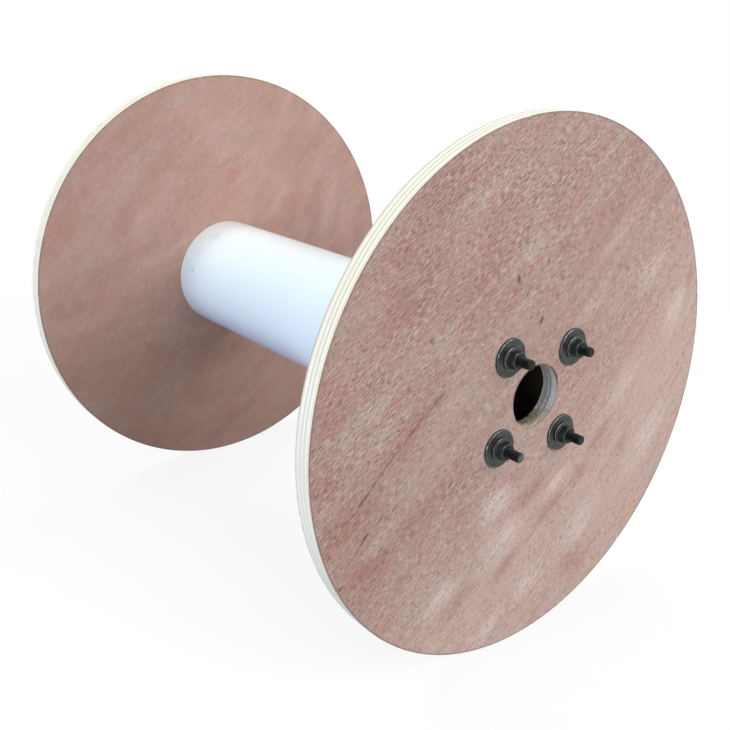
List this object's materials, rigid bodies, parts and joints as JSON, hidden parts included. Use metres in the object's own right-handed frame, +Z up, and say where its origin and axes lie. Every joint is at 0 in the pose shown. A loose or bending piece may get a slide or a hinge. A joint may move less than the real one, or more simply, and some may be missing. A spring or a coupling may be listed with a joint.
{
  "type": "cable drum",
  "caption": "Small cable drum: round plywood flanges clamped onto a white plastic pipe barrel by threaded tie rods with large washers and collared nuts, with a centre bore for a spindle.",
  "frame": {"origin": "centre of the drum: on the axis of the centre bore, midway between the flanges", "axes": "+Y along the drum's axis, from the front flange to the back one; +Z up, with the drum lying on both rims; +X to the right as seen from the front"},
  "size_m": [0.4249, 0.5137, 0.425],
  "materials": {
    "plywood": "raw red-brown face veneer with pale layered edges",
    "white_plastic": "smooth extruded white pipe",
    "dark_rod": "dark oiled thread",
    "zinc_plate": "dull grey-green zinc"
  },
  "bodies": {
    "root": {"flange_front": "plywood", "flange_back": "plywood", "barrel_tube": "white_plastic", "tie_rod_1": "dark_rod", "tie_rod_2": "dark_rod", "tie_rod_3": "dark_rod", "tie_rod_4": "dark_rod", "washer_front_1": "zinc_plate", "washer_front_2": "zinc_plate", "washer_front_3": "zinc_plate", "washer_front_4": "zinc_plate", "washer_back_1": "zinc_plate", "washer_back_2": "zinc_plate", "washer_back_3": "zinc_plate", "washer_back_4": "zinc_plate", "nut_front_1": "zinc_plate", "nut_front_2": "zinc_plate", "nut_front_3": "zinc_plate", "nut_front_4": "zinc_plate", "nut_back_1": "zinc_plate", "nut_back_2": "zinc_plate", "nut_back_3": "zinc_plate", "nut_back_4": "zinc_plate"}
  },
  "joints": []
}
